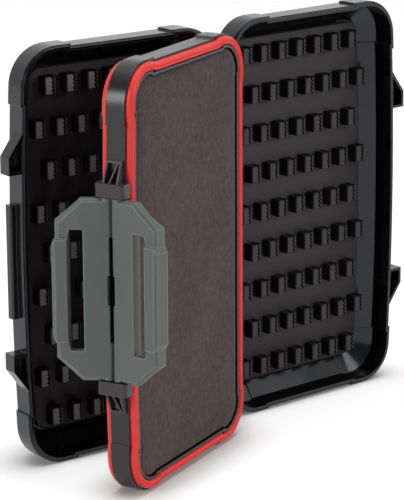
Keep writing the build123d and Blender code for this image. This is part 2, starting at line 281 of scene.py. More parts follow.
class Nodes:
    """A small helper that adds and links the nodes of one tree."""

    def __init__(self, tree: bpy.types.NodeTree) -> None:
        """Keep the tree that the nodes go into.

        Args:
            tree: Shader, world or geometry tree.
        """
        self.tree = tree

    def add(self, kind: str, inputs: dict | None = None, **settings: object) -> bpy.types.Node:
        """Add a node.

        Args:
            kind: Blender's type name of the node.
            inputs: Values or sockets for its inputs, by name or index.
            settings: Other properties of the node.

        Returns:
            The new node.
        """
        node = self.tree.nodes.new(kind)
        for name, value in settings.items():
            setattr(node, name, value)
        for name, value in (inputs or {}).items():
            if isinstance(value, bpy.types.NodeSocket):
                self.tree.links.new(value, node.inputs[name])
            else:
                node.inputs[name].default_value = value
        return node

    def math(self, operation: str, first: object, second: object = 0.0) -> bpy.types.NodeSocket:
        """Add a Math node.

        Args:
            operation: Blender's name of the operation.
            first: First value or socket.
            second: Second value or socket.

        Returns:
            The result's socket.
        """
        return self.add("ShaderNodeMath", {0: first, 1: second}, operation=operation).outputs[0]

    def ramp(
        self, value: bpy.types.NodeSocket, low: float, high: float, first: float, last: float
    ) -> bpy.types.NodeSocket:
        """Map a value from one range to another, clamped.

        Args:
            value: Socket with the value.
            low: Start of the range that comes in.
            high: End of the range that comes in.
            first: Result at the start.
            last: Result at the end.

        Returns:
            The result's socket.
        """
        inputs = {"Value": value, "From Min": low, "From Max": high, "To Min": first, "To Max": last}
        return self.add("ShaderNodeMapRange", inputs).outputs["Result"]

    def blend(self, factor: object, first: object, second: object) -> bpy.types.NodeSocket:
        """Mix two colours.

        Args:
            factor: 0 for the first colour, 1 for the second.
            first: First colour or socket.
            second: Second colour or socket.

        Returns:
            The mixed colour's socket.
        """
        node = self.add("ShaderNodeMix", data_type="RGBA")
        for socket, value in ((0, factor), (6, first), (7, second)):
            if isinstance(value, bpy.types.NodeSocket):
                self.tree.links.new(value, node.inputs[socket])
            else:
                node.inputs[socket].default_value = value
        return node.outputs[2]

    def noise(
        self, vector: bpy.types.NodeSocket, scale: float, detail: float = 2.0
    ) -> bpy.types.NodeSocket:
        """Add a noise texture.

        Args:
            vector: Coordinates that it is read at.
            scale: Waves per unit.
            detail: Number of finer octaves.

        Returns:
            The factor's socket.
        """
        inputs = {"Vector": vector, "Scale": scale, "Detail": detail, "Roughness": 0.6}
        return self.add("ShaderNodeTexNoise", inputs).outputs["Fac"]

    def stretched(
        self, vector: bpy.types.NodeSocket, scale: tuple[float, float, float]
    ) -> bpy.types.NodeSocket:
        """Scale a vector by its axes.

        Args:
            vector: Socket with the vector.
            scale: Factor for each axis.

        Returns:
            The scaled vector's socket.
        """
        return self.add("ShaderNodeMapping", {"Vector": vector, "Scale": scale}).outputs[0]


def start_material(name: str) -> tuple[bpy.types.Material, Nodes, bpy.types.Node]:
    """Make an empty node material.

    Args:
        name: Name of the finish.

    Returns:
        The material, its node helper and its output node.
    """
    material = bpy.data.materials.new(name)
    material.use_nodes = True
    material.node_tree.nodes.clear()
    nodes = Nodes(material.node_tree)
    return material, nodes, nodes.add("ShaderNodeOutputMaterial")


@dataclass(frozen=True)
class MouldedPlastic:
    """Injection moulded plastic with softened edges, faint flow marks, handling scratches and a painted
    highlight, partly wear, on its edges.
    """

    name: str
    colour: tuple[float, float, float]
    edge_highlight_colour: tuple[float, float, float]
    roughness: float = 0.3
    edge_radius: float = 0.45
    edge_highlight_strength: float = 0.8
    grain: float = 0.1
    scratch: float = 0.12
    specular: float = 0.5
    tint: tuple[float, float, float] = (1.0, 1.0, 1.0)

    def build(self) -> bpy.types.Material:
        """Make the material from noise, scratches and an edge mask that paints a lighter highlight,
        partly wear, on the edges.

        Returns:
            The new material.
        """
        material, nodes, output = start_material(self.name)
        place = nodes.add("ShaderNodeTexCoord").outputs["Object"]
        flow = nodes.noise(place, 38.0, 3.0)
        fine = nodes.noise(place, 2600.0, 2.0)
        long_marks = nodes.noise(nodes.stretched(place, (1500.0, 1500.0, 70.0)), 1.0, 1.0)
        cross_marks = nodes.noise(nodes.stretched(place, (90.0, 90.0, 1900.0)), 1.0, 1.0)
        marks = nodes.math("MAXIMUM", long_marks, cross_marks)
        scratches = nodes.ramp(marks, 0.7, 0.78, 0.0, 1.0)
        soft = nodes.add(
            "ShaderNodeBevel", {"Radius": self.edge_radius * MM}, samples=6
        ).outputs["Normal"]
        true = nodes.add("ShaderNodeNewGeometry").outputs["Normal"]
        facing = nodes.add("ShaderNodeVectorMath", {0: soft, 1: true}, operation="DOT_PRODUCT")
        # Painted highlight, partly wear: where the bevelled normal turns away from the true one the
        # colour goes lighter, patchy with the flow noise.
        edge = nodes.ramp(facing.outputs["Value"], 0.995, 0.86, 0.0, self.edge_highlight_strength)
        painted_light_mask = nodes.math("MULTIPLY", edge, nodes.ramp(flow, 0.3, 0.7, 0.6, 1.0))
        dark = tuple(channel * 0.82 for channel in self.colour)
        body = nodes.blend(flow, (*dark, 1.0), (*self.colour, 1.0))
        colour = nodes.blend(painted_light_mask, body, (*self.edge_highlight_colour, 1.0))
        rough = nodes.ramp(flow, 0.25, 0.75, self.roughness - 0.05, self.roughness + 0.06)
        rough = nodes.math("ADD", rough, nodes.math("MULTIPLY", scratches, self.scratch))
        height = nodes.math("ADD", fine, nodes.math("MULTIPLY", scratches, -0.5))
        bump = nodes.add(
            "ShaderNodeBump",
            {"Height": height, "Strength": self.grain, "Distance": 0.00004, "Normal": soft},
        )
        shader = nodes.add(
            "ShaderNodeBsdfPrincipled",
            {
                "Base Color": colour,
                "Roughness": rough,
                "Specular IOR Level": self.specular,
                "Specular Tint": (*self.tint, 1.0),
                "Normal": bump.outputs[0],
            },
        )
        material.node_tree.links.new(shader.outputs[0], output.inputs[0])
        return material


@dataclass(frozen=True)
class PadFoam:
    """Pressed foam with a fine upright fibre and a soft mottled tone."""

    name: str = "pad_foam"
    dark: tuple[float, float, float] = (0.047, 0.0345, 0.0325)
    light: tuple[float, float, float] = (0.112, 0.084, 0.08)

    def build(self) -> bpy.types.Material:
        """Make the foam from stretched noise on the piece's own coordinates.

        Returns:
            The new material.
        """
        material, nodes, output = start_material(self.name)
        place = nodes.add("ShaderNodeTexCoord").outputs["Object"]
        fibre = nodes.noise(nodes.stretched(place, (1150.0, 1150.0, 210.0)), 1.0, 3.0)
        weft = nodes.noise(nodes.stretched(place, (420.0, 420.0, 1300.0)), 1.0, 2.0)
        cloud = nodes.noise(place, 26.0, 3.0)
        cells = nodes.add(
            "ShaderNodeTexVoronoi", {"Vector": place, "Scale": 1700.0}
        ).outputs["Distance"]
        patch = nodes.noise(place, 420.0, 3.0)
        tone = nodes.math("MULTIPLY", fibre, 0.42)
        tone = nodes.math("ADD", tone, nodes.math("MULTIPLY", weft, 0.26))
        tone = nodes.math("ADD", tone, nodes.math("MULTIPLY", cloud, 0.22))
        tone = nodes.math("ADD", tone, nodes.math("MULTIPLY", patch, 0.34))
        mix = nodes.ramp(tone, 0.51, 0.75, 0.0, 1.0)
        colour = nodes.blend(mix, (*self.dark, 1.0), (*self.light, 1.0))
        height = nodes.math("ADD", fibre, nodes.math("MULTIPLY", cells, 0.4))
        height = nodes.math("ADD", height, nodes.math("MULTIPLY", weft, 0.3))
        bump = nodes.add(
            "ShaderNodeBump", {"Height": height, "Strength": 0.55, "Distance": 0.00016}
        )
        shader = nodes.add(
            "ShaderNodeBsdfPrincipled",
            {
                "Base Color": colour,
                "Roughness": nodes.ramp(fibre, 0.3, 0.7, 0.86, 0.97),
                "Specular IOR Level": 0.25,
                "Sheen Weight": 0.12,
                "Sheen Roughness": 0.5,
                "Normal": bump.outputs[0],
            },
        )
        material.node_tree.links.new(shader.outputs[0], output.inputs[0])
        return material


@dataclass(frozen=True)
class SoftRubber:
    """Moulded soft rubber, used for the red seals and for the slotted sheets, whose tabs can get
    painted shade on their sides and painted light on their crowns.
    """

    name: str
    colour: tuple[float, float, float]
    dust_colour: tuple[float, float, float]
    roughness: float = 0.5
    dust: float = 0.25
    edge_radius: float = 0.25
    grain: float = 0.2
    specular: float = 0.4
    shaded_side_colour: tuple[float, float, float] | None = None
    lit_crown_colour: tuple[float, float, float] | None = None

    def build(self) -> bpy.types.Material:
        """Make the rubber with a fine grain and a light bloom in places.

        Returns:
            The new material.
        """
        material, nodes, output = start_material(self.name)
        place = nodes.add("ShaderNodeTexCoord").outputs["Object"]
        cloud = nodes.noise(place, 55.0, 4.0)
        fine = nodes.noise(place, 3200.0, 2.0)
        speck = nodes.ramp(nodes.noise(place, 900.0, 2.0), 0.62, 0.74, 0.0, 1.0)
        bloom = nodes.math("MULTIPLY", nodes.ramp(cloud, 0.42, 0.72, 0.0, 1.0), self.dust)
        bloom = nodes.math("ADD", bloom, nodes.math("MULTIPLY", speck, self.dust * 0.3))
        colour = nodes.blend(bloom, (*self.colour, 1.0), (*self.dust_colour, 1.0))
        # Painted shade: the tabs' side faces go near black, as if in shadow.
        if self.shaded_side_colour is not None:
            side = nodes.add("ShaderNodeAttribute", attribute_name="tab_side_shade").outputs["Fac"]
            painted_side_shade = nodes.math("MULTIPLY", side, nodes.ramp(cloud, 0.2, 0.6, 0.9, 1.0))
            colour = nodes.blend(painted_side_shade, colour, (*self.shaded_side_colour, 1.0))
        # Painted light: the tabs' crowns go paler, as if lit, as far as each sheet's crown light asks.
        if self.lit_crown_colour is not None:
            crown = nodes.add("ShaderNodeAttribute", attribute_name="tab_crown_light").outputs["Fac"]
            painted_light_mask = nodes.math("MULTIPLY", crown, nodes.ramp(fine, 0.3, 0.7, 0.7, 1.0))
            colour = nodes.blend(painted_light_mask, colour, (*self.lit_crown_colour, 1.0))
        rough = nodes.ramp(cloud, 0.3, 0.7, self.roughness - 0.06, self.roughness + 0.08)
        soft = nodes.add("ShaderNodeBevel", {"Radius": self.edge_radius * MM}, samples=4)
        bump = nodes.add(
            "ShaderNodeBump",
            {
                "Height": fine,
                "Strength": self.grain,
                "Distance": 0.00006,
                "Normal": soft.outputs["Normal"],
            },
        )
        shader = nodes.add(
            "ShaderNodeBsdfPrincipled",
            {
                "Base Color": colour,
                "Roughness": rough,
                "Specular IOR Level": self.specular,
                "Normal": bump.outputs[0],
            },
        )
        material.node_tree.links.new(shader.outputs[0], output.inputs[0])
        return material


@dataclass(frozen=True)
class DrawnSteel:
    """Drawn steel wire with fine lengthwise lines, bright, or dark where its colour is painted shade.
    """

    name: str = "drawn_steel"
    colour: tuple[float, float, float] = (0.56, 0.56, 0.57)
    roughness: float = 0.32

    def build(self) -> bpy.types.Material:
        """Make the steel with streaks that run up the pin.

        Returns:
            The new material.
        """
        material, nodes, output = start_material(self.name)
        place = nodes.add("ShaderNodeTexCoord").outputs["Object"]
        lines = nodes.noise(nodes.stretched(place, (5200.0, 5200.0, 60.0)), 1.0, 2.0)
        film = nodes.noise(place, 120.0, 3.0)
        dull = tuple(channel * 0.72 for channel in self.colour)
        colour = nodes.blend(film, (*dull, 1.0), (*self.colour, 1.0))
        bump = nodes.add(
            "ShaderNodeBump", {"Height": lines, "Strength": 0.2, "Distance": 0.00002}
        )
        shader = nodes.add(
            "ShaderNodeBsdfPrincipled",
            {
                "Base Color": colour,
                "Metallic": 1.0,
                "Roughness": nodes.ramp(lines, 0.3, 0.7, self.roughness - 0.08, self.roughness + 0.08),
                "Normal": bump.outputs[0],
            },
        )
        material.node_tree.links.new(shader.outputs[0], output.inputs[0])
        return material


@dataclass(frozen=True)
class StudioFloor:
    """White paper that stays white to the camera, keeps the object's faint shadow and has a painted
    contact shadow at the box's foot.
    """

    name: str = "studio_floor"
    glow: float = 0.74
    catch: float = 0.5
    shadow_reach: float = 0.022
    shadow_depth: float = 0.12

    def build(self) -> bpy.types.Material:
        """Make the floor: plain paper to the light, near white to the camera.

        Returns:
            The new material.
        """
        material, nodes, output = start_material(self.name)
        path = nodes.add("ShaderNodeLightPath").outputs
        seen = nodes.math("MAXIMUM", path["Is Camera Ray"], path["Is Glossy Ray"])
        seen = nodes.math("MAXIMUM", seen, path["Is Transmission Ray"])
        paper = nodes.add("ShaderNodeBsdfDiffuse", {"Color": (0.82, 0.82, 0.82, 1.0)})
        catch = nodes.add(
            "ShaderNodeBsdfDiffuse", {"Color": (self.catch, self.catch, self.catch, 1.0)}
        )
        # Painted contact shadow: near the box the camera's glow dims with ambient occlusion.
        near = nodes.add(
            "ShaderNodeAmbientOcclusion", {"Distance": self.shadow_reach}, samples=8
        ).outputs["AO"]
        shade = nodes.ramp(near, 0.45, 0.97, self.shadow_depth * self.glow, self.glow)
        glow = nodes.add("ShaderNodeEmission", {"Color": (1.0, 1.0, 1.0, 1.0), "Strength": shade})
        bright = nodes.add("ShaderNodeAddShader", {0: catch.outputs[0], 1: glow.outputs[0]})
        mix = nodes.add(
            "ShaderNodeMixShader", {0: seen, 1: paper.outputs[0], 2: bright.outputs[0]}
        )
        material.node_tree.links.new(mix.outputs[0], output.inputs[0])
        return material


class GrowTree:
    """A Geometry Nodes group with named inputs, and what runs it on a mesh."""

    def __init__(self, name: str) -> None:
        """Start the group with a geometry input and output.

        Args:
            name: Name of the group.
        """
        self.tree = bpy.data.node_groups.new(name, "GeometryNodeTree")
        self.nodes = Nodes(self.tree)
        self.identifiers: dict[str, str] = {}
        self.tree.interface.new_socket("Geometry", in_out="INPUT", socket_type="NodeSocketGeometry")
        self.tree.interface.new_socket("Geometry", in_out="OUTPUT", socket_type="NodeSocketGeometry")

    def declare(self, name: str, kind: str) -> None:
        """Add a named input and keep its identifier.

        Args:
            name: Name of the input.
            kind: Blender's socket type.
        """
        socket = self.tree.interface.new_socket(name, in_out="INPUT", socket_type=kind)
        self.identifiers[name] = socket.identifier

    def end(self, geometry: bpy.types.NodeSocket, material: bpy.types.NodeSocket) -> None:
        """Close the tree with Realize Instances and Set Material.

        Args:
            geometry: Socket with the finished geometry.
            material: Socket with its material.
        """
        realize = self.nodes.add("GeometryNodeRealizeInstances", {"Geometry": geometry})
        paint = self.nodes.add(
            "GeometryNodeSetMaterial", {"Geometry": realize.outputs[0], "Material": material}
        )
        self.nodes.add("NodeGroupOutput", {0: paint.outputs[0]})

    def grow(self, name: str, base: bpy.types.Mesh, values: dict[str, object]) -> bpy.types.Mesh:
        """Run the tree on a mesh.

        Args:
            name: Name of the result.
            base: Mesh that enters the tree.
            values: The tree's inputs by name.

        Returns:
            The result as a plain mesh.
        """
        holder = new_object(name + "_holder", base)
        modifier = holder.modifiers.new("grow", "NODES")
        modifier.node_group = self.tree
        for key, value in values.items():
            modifier[self.identifiers[key]] = value
        bpy.context.view_layer.update()
        shown = holder.evaluated_get(bpy.context.evaluated_depsgraph_get())
        mesh = bpy.data.meshes.new_from_object(shown)
        mesh.name = name
        holder.modifiers.remove(modifier)
        bpy.data.objects.remove(holder)
        return mesh


def ring_mesh(name: str, rings: list[list[tuple[float, float, float]]], closed: bool) -> bpy.types.Mesh:
    """Loft rings of equal length into a mesh.

    Args:
        name: Name of the mesh.
        rings: Rings of points, each the same length.
        closed: True where the last ring joins the first, otherwise both ends are capped.

    Returns:
        The mesh, in the rings' own units.
    """
    count = len(rings[0])
    points = [point for ring in rings for point in ring]
    faces = []
    spans = len(rings) if closed else len(rings) - 1
    for ring in range(spans):
        after = (ring + 1) % len(rings)
        for index in range(count):
            step = (index + 1) % count
            quad = (ring * count + index, ring * count + step)
            faces.append((*quad, after * count + step, after * count + index))
    if not closed:
        faces.append(tuple(range(count - 1, -1, -1)))
        last = (len(rings) - 1) * count
        faces.append(tuple(last + index for index in range(count)))
    mesh = bpy.data.meshes.new(name)
    mesh.from_pydata(points, [], faces)
    mesh.update()
    return mesh


@dataclass
class SlotSheets:
    """The soft sheet in each shell, with staggered rows of tabs cut by a wavy slit, painted shade on
    their sides and painted light on their crowns.
    """

    outline: LeafOutline
    frames: dict[ShellSide, HingeFrame]
    rubber: SoftRubber
    inset: float = 11.7
    floor: float = 24.1
    thickness: float = 3.0
    rows: int = 9
    columns: int = 7
    row_pitch: float = 19.0
    tab_width: float = 3.6
    slit_width: float = 0.9
    lip: float = 1.2
    tab_height: float = 8.0
    proud: float = 5.5
    margin: float = 3.3
    free_margin: float = 2.0
    wave: float = 0.5
    waves: int = 4
    # Painted light on the tab crowns, per sheet: the left sheet's crowns are painted as lit, the
    # right's hardly at all.
    left_crown_light: float = 1.0
    right_crown_light: float = 0.02
    tree: GrowTree = field(init=False)

    def __post_init__(self) -> None:
        """Build the tree that both sheets share."""
        self.tree = self._make_tree()

    @property
    def tab_full(self) -> float:
        """Width of a tab with its slit and lip."""
        return self.tab_width + self.slit_width + self.lip

    @property
    def column_pitch(self) -> float:
        """Spacing of the tabs along a row."""
        room = self.outline.width - 2 * self.inset - self.tab_full - self.free_margin
        return room / (self.columns - 0.5)

    def _make_tree(self) -> GrowTree:
        """Rows of tab instances, every other row shifted, joined to the sheet.

        Returns:
            The tree, whose base mesh is the flat sheet.
        """
        tree = GrowTree("tab_rows")
        for name, kind in (
            ("Tab", "NodeSocketObject"),
            ("Rows", "NodeSocketInt"),
            ("Columns", "NodeSocketInt"),
            ("Row Pitch", "NodeSocketFloat"),
            ("Column Pitch", "NodeSocketFloat"),
            ("Row Shift", "NodeSocketFloat"),
            ("First Tab", "NodeSocketVector"),
            ("Material", "NodeSocketMaterial"),
        ):
            tree.declare(name, kind)
        nodes = tree.nodes
        given = nodes.add("NodeGroupInput").outputs
        wide = nodes.math("SUBTRACT", given["Columns"], 1.0)
        high = nodes.math("SUBTRACT", given["Rows"], 1.0)
        grid = nodes.add(
            "GeometryNodeMeshGrid",
            {
                "Size X": nodes.math("MULTIPLY", wide, given["Column Pitch"]),
                "Size Y": nodes.math("MULTIPLY", high, given["Row Pitch"]),
                "Vertices X": given["Columns"],
                "Vertices Y": given["Rows"],
            },
        )
        index = nodes.add("GeometryNodeInputIndex").outputs[0]
        row = nodes.math("MODULO", index, given["Rows"])
        odd = nodes.math("MODULO", row, 2.0)
        shift = nodes.math("MULTIPLY", odd, given["Row Shift"])
        half = nodes.math("MULTIPLY", nodes.math("MULTIPLY", wide, given["Column Pitch"]), 0.5)
        slide = nodes.add("ShaderNodeCombineXYZ", {"X": nodes.math("ADD", shift, half)})
        move = nodes.add(
            "ShaderNodeVectorMath", {0: slide.outputs[0], 1: given["First Tab"]}, operation="ADD"
        )
        placed = nodes.add(
            "GeometryNodeSetPosition", {"Geometry": grid.outputs["Mesh"], "Offset": move.outputs[0]}
        )
        tab = nodes.add("GeometryNodeObjectInfo", {"Object": given["Tab"]})
        spread = nodes.add(
            "GeometryNodeInstanceOnPoints",
            {"Points": placed.outputs[0], "Instance": tab.outputs["Geometry"]},
        )
        both = nodes.add("GeometryNodeJoinGeometry")
        tree.tree.links.new(given["Geometry"], both.inputs[0])
        tree.tree.links.new(spread.outputs[0], both.inputs[0])
        tree.end(both.outputs[0], given["Material"])
        return tree

    def _sheet(self) -> bpy.types.Mesh:
        """The flat sheet with rolled edges, lying in XY with its face at Z = 0.

        Returns:
            The sheet's mesh in millimetres.
        """
        path = self.outline
        rings = []
        for depth, drop in ((0.0, 3.0), (0.0, 0.7), (0.25, 0.2), (0.7, 0.0)):
            points = path.follow(self.inset - path.guard_step, depth, stepped=False)
            flat = [(point.x, point.z - path.height / 2, -drop) for point in points]
            rings.append(flat)
        return ring_mesh("sheet_base", rings, closed=False)

    def _wavy_edge(self, x: float) -> list[tuple[float, float]]:
        """One wavy side of the slit, from bottom to top.

        Args:
            x: Place of the side before it waves.

        Returns:
            Points as (x, height).
        """
        steps = 4 * self.waves
        found = []
        for index in range(steps + 1):
            z = -self.tab_height / 2 + self.tab_height * index / steps
            ease = 0.0 if index in (0, steps) else 1.0
            bulge = self.wave * math.sin(2 * math.pi * self.waves * index / steps) * ease
            found.append((x + bulge, z))
        return found

    def _block(
        self, work: bmesh.types.BMesh, edge: list[tuple[float, float]], flat: float, crown_light: float
    ) -> None:
        """Add one block of a tab, wavy on one side and rounded at the top.

        Args:
            work: Mesh that takes the block.
            edge: The wavy side.
            flat: X of the straight side.
            crown_light: How much painted light pales the crown to a lighter grey.
        """
        side = work.faces.layers.float["tab_side_shade"]
        crown = work.faces.layers.float["tab_crown_light"]
        ring = [(flat, edge[-1][1]), (flat, edge[0][1])] + list(edge)
        middle = sum(x for x, _ in ring) / len(ring)
        reach = max(x for x, _ in ring) - min(x for x, _ in ring)
        shapes = []
        for level, pull in ((-0.3, 0.0), (self.proud - 0.35, 0.0), (self.proud, 0.3)):
            row = []
            for x, z in ring:
                squeeze = 1 - 2 * pull / max(reach, 1.0)
                near = 1 - 2 * pull / self.tab_height
                row.append(work.verts.new((middle + (x - middle) * squeeze, z * near, level)))
            shapes.append(row)
        count = len(ring)
        for low, high in zip(shapes, shapes[1:]):
            for index in range(count):
                step = (index + 1) % count
                wall = work.faces.new((low[index], low[step], high[step], high[index]))
                # The walls carry the painted shade of the tab's sides.
                wall[side] = 1.0
        # The crown carries the painted light.
        work.faces.new(shapes[-1])[crown] = crown_light
        work.faces.new(list(reversed(shapes[0])))

    def _tab(self, slit: Rows, crown_light: float) -> bpy.types.Object:
        """One tab: a block, a wavy slit and a thin lip, starting at X = 0.

        Args:
            slit: Which way the slit faces.
            crown_light: How much painted light pales the crown, from 0 to 1.

        Returns:
            The tab as an object that the tree repeats.
        """
        work = bmesh.new()
        work.faces.layers.float.new("tab_side_shade")
        work.faces.layers.float.new("tab_crown_light")
        near = self._wavy_edge(self.tab_width)
        far = self._wavy_edge(self.tab_width + self.slit_width)
        self._block(work, near, 0.0, crown_light)
        self._block(work, far, self.tab_full, crown_light * 0.1)
        if slit is Rows.SLIT_INWARD:
            for vertex in work.verts:
                vertex.co.x = self.tab_full - vertex.co.x
        bmesh.ops.recalc_face_normals(work, faces=work.faces)
        mesh = bpy.data.meshes.new("tab")
        work.to_mesh(mesh)
        work.free()
        return new_object("tab_pattern", mesh)

    def build(self) -> list[bpy.types.Object]:
        """Make both sheets.

        Returns:
            The two slotted sheets, each riding its shell.
        """
        material = self.rubber.build()
        found = []
        for side, frame in self.frames.items():
            slit = Rows.SLIT_OUTWARD if side is ShellSide.RIGHT else Rows.SLIT_INWARD
            tab = self._tab(slit, self.right_crown_light if side is ShellSide.RIGHT else self.left_crown_light)
            values = {
                "Tab": tab,
                "Rows": self.rows,
                "Columns": self.columns,
                "Row Pitch": self.row_pitch,
                "Column Pitch": self.column_pitch,
                "Row Shift": self.column_pitch / 2,
                "First Tab": (self.outline.setback + self.inset + self.margin, 0.0, 0.0),
                "Material": material,
            }
            name = f"{side.value}_slotted_sheet"
            mesh = self.tree.grow(name, self._sheet(), values)
            bpy.data.objects.remove(tab)
            # The sheet lies in XY: its Y becomes the leaf's height and its Z the way to the rim
            top = self.floor - self.thickness
            upright = Matrix(
                ((1, 0, 0, 0), (0, 0, -1, top), (0, 1, 0, self.outline.height / 2), (0, 0, 0, 1))
            )
            seat(mesh, frame.matrix() @ upright)
            piece = new_object(name, mesh)
            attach(piece, f"{side.value}_tray")
            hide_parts(f"{side.value}_slot_sheet")
            found.append(piece)
            LOG.info("%s: %d rows of %d tabs", name, self.rows, self.columns)
        return found


@dataclass
class LeafSeals:
    """The soft red seal round each face of the middle leaf."""

    outline: LeafOutline
    frame: HingeFrame
    rubber: SoftRubber
    outer: float = 1.0
    width: float = 3.6
    low: float = 4.5
    high: float = 7.4
    groove: float = 0.35
    tree: GrowTree = field(init=False)

    def __post_init__(self) -> None:
        """Build the tree that both seals share."""
        self.tree = self._make_tree()

    def _make_tree(self) -> GrowTree:
        """A closed path swept by the seal's section.

        Returns:
            The tree, whose base mesh is the path.
        """
        tree = GrowTree("seal_path")
        for name, kind in (
            ("Section", "NodeSocketObject"),
            ("Section Scale", "NodeSocketFloat"),
            ("Material", "NodeSocketMaterial"),
        ):
            tree.declare(name, kind)
        nodes = tree.nodes
        given = nodes.add("NodeGroupInput").outputs
        path = nodes.add("GeometryNodeMeshToCurve", {"Mesh": given["Geometry"]})
        lean = nodes.add("GeometryNodeSetCurveNormal", {"Curve": path.outputs[0]}, mode="Z_UP")
        section = nodes.add("GeometryNodeObjectInfo", {"Object": given["Section"]})
        profile = nodes.add("GeometryNodeMeshToCurve", {"Mesh": section.outputs["Geometry"]})
        sized = nodes.add(
            "GeometryNodeTransform",
            {
                "Geometry": profile.outputs[0],
                "Scale": nodes.add(
                    "ShaderNodeCombineXYZ",
                    {"X": given["Section Scale"], "Y": given["Section Scale"], "Z": 1.0},
                ).outputs[0],
            },
        )
        swept = nodes.add(
            "GeometryNodeCurveToMesh",
            {"Curve": lean.outputs[0], "Profile Curve": sized.outputs[0], "Fill Caps": False},
        )
        tree.end(swept.outputs[0], given["Material"])
        return tree

    def _section(self) -> bpy.types.Object:
        """The seal's section: flat foot, rolled shoulders and a shallow groove in the crown.

        Returns:
            The closed section as an object that the tree sweeps.
        """
        half = self.width / 2
        rise = self.high - self.low
        crown = [
            (-half, 0.0),
            (-half, rise * 0.45),
            (-half + 0.25, rise * 0.74),
            (-half + 0.75, rise * 0.93),
            (-half + 1.2, rise),
            (-0.3, rise),
            (-0.12, rise - self.groove),
            (0.12, rise - self.groove),
            (0.3, rise),
            (half - 1.2, rise),
            (half - 0.75, rise * 0.93),
            (half - 0.25, rise * 0.74),
            (half, rise * 0.45),
            (half, 0.0),
        ]
        points = [(x, y, 0.0) for x, y in crown]
        edges = [(index, (index + 1) % len(points)) for index in range(len(points))]
        mesh = bpy.data.meshes.new("seal_section")
        mesh.from_pydata(points, edges, [])
        return new_object("seal_section", mesh)

    def build(self) -> list[bpy.types.Object]:
        """Make both seals.

        Returns:
            The two seals, riding the middle leaf.
        """
        material = self.rubber.build()
        found = []
        for side in ShellSide:
            loop = self.outline.follow(self.outer + self.width / 2)
            points = [(point.x, point.z - self.outline.height / 2, 0.0) for point in loop]
            edges = [(index, (index + 1) % len(points)) for index in range(len(points))]
            base = bpy.data.meshes.new("seal_loop")
            base.from_pydata(points, edges, [])
            section = self._section()
            values = {"Section": section, "Section Scale": 1.0, "Material": material}
            name = f"{side.value}_red_seal"
            mesh = self.tree.grow(name, base, values)
            bpy.data.objects.remove(section)
            lows = min(vertex.co.z for vertex in mesh.vertices)
            highs = max(vertex.co.z for vertex in mesh.vertices)
            flip = 1.0 if highs > -lows else -1.0
            LOG.debug("seal section runs from %.3f to %.3f", lows, highs)
            upright = Matrix(
                (
                    (1, 0, 0, 0),
                    (0, 0, flip * side.sign, side.sign * self.low),
                    (0, 1, 0, self.outline.height / 2),
                    (0, 0, 0, 1),
                )
            )
            seat(mesh, self.frame.matrix() @ upright, 50.0)
            piece = new_object(name, mesh)
            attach(piece, "middle_leaf")
            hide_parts(f"{side.value}_seal")
            found.append(piece)
            LOG.info("%s: swept round %d points", name, len(points))
        return found


@dataclass
class FoamPads:
    """The crowned foam pad in each face of the middle leaf."""

    outline: LeafOutline
    frame: HingeFrame
    foam: PadFoam
    inset: float = 6.4
    low: float = 1.25
    high: float = 6.4
    crown: float = 0.5
    ripple: float = 0.07

    def _rings(self, side: ShellSide) -> list[list[tuple[float, float, float]]]:
        """Rings of the pad from its back edge over its rolled edge to its middle.

        Args:
            side: Which pad.

        Returns:
            Rings of points in the closed leaf's millimetres.
        """
        levels = ((0.0, self.low), (0.0, 3.6), (0.05, 4.7), (0.25, 5.35), (0.6, 5.8), (1.1, 6.1))
        rings = []
        for depth, level in levels:
            points = self.outline.follow(self.inset, depth)
            rings.append([(point.x, side.sign * level, point.z) for point in points])
        middle_x = self.outline.setback + self.outline.width / 2
        middle_z = self.outline.height / 2
        half_x = max(abs(x - middle_x) for x, _, _ in rings[-1])
        half_z = max(abs(z - middle_z) for _, _, z in rings[-1])
        rim = rings[-1]
        shares = [0.99, 0.975] + [0.95 - 0.0372 * step for step in range(26)]
        for share in shares:
            ring = []
            for x, _, z in rim:
                across = (x - middle_x) * share / half_x
                upward = (z - middle_z) * share / half_z
                swell = (1 - across**8) * (1 - upward**20)
                level = self.high - 0.3 * share**40 + self.crown * swell
                spot = Vector((across * 2.6, 7.0 * side.sign, upward * 5.0))
                level += self.ripple * noise.noise(spot) * swell
                px = middle_x + (x - middle_x) * share
                pz = middle_z + (z - middle_z) * share
                ring.append((px, side.sign * level, pz))
            rings.append(ring)
        return rings

    def build(self) -> list[bpy.types.Object]:
        """Make both pads.

        Returns:
            The two pads, riding the middle leaf.
        """
        material = self.foam.build()
        found = []
        for side in ShellSide:
            name = f"{side.value}_crowned_pad"
            mesh = ring_mesh(name, self._rings(side), closed=False)
            mesh.materials.append(material)
            seat(mesh, self.frame.matrix(), 60.0)
            piece = new_object(name, mesh)
            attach(piece, "middle_leaf")
            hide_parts(f"{side.value}_foam_pad")
            found.append(piece)
            LOG.info("%s: crowned %.1f mm", name, self.crown)
        return found


